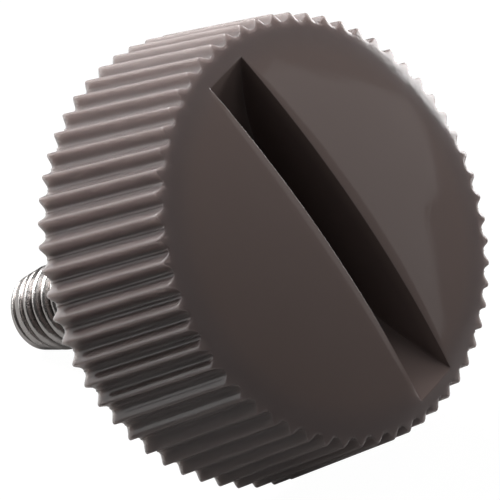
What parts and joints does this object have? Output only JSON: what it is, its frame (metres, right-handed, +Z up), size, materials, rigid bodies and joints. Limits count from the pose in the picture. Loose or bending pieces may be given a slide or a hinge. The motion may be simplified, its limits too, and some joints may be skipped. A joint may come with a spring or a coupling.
{
  "type": "thumb screw",
  "caption": "Thumb screw with a knurled moulded plastic head, a domed face with a coin slot and a threaded steel stud.",
  "frame": {"origin": "on the ground, under the middle of the part's box, as the screw lies on two ridges of its head's back edge and on the stud's end", "axes": "+Z up; the domed face looks to the front (-Y) and up, and the stud points to the back (+Y) and down, 33.8 degrees below level"},
  "size_m": [0.025, 0.0278, 0.025],
  "materials": {
    "moulded_plastic": "semi-gloss, as moulded",
    "plated_steel": "bright plated"
  },
  "bodies": {
    "root": {"knob_head": "moulded_plastic", "threaded_stud": "plated_steel"}
  },
  "joints": []
}
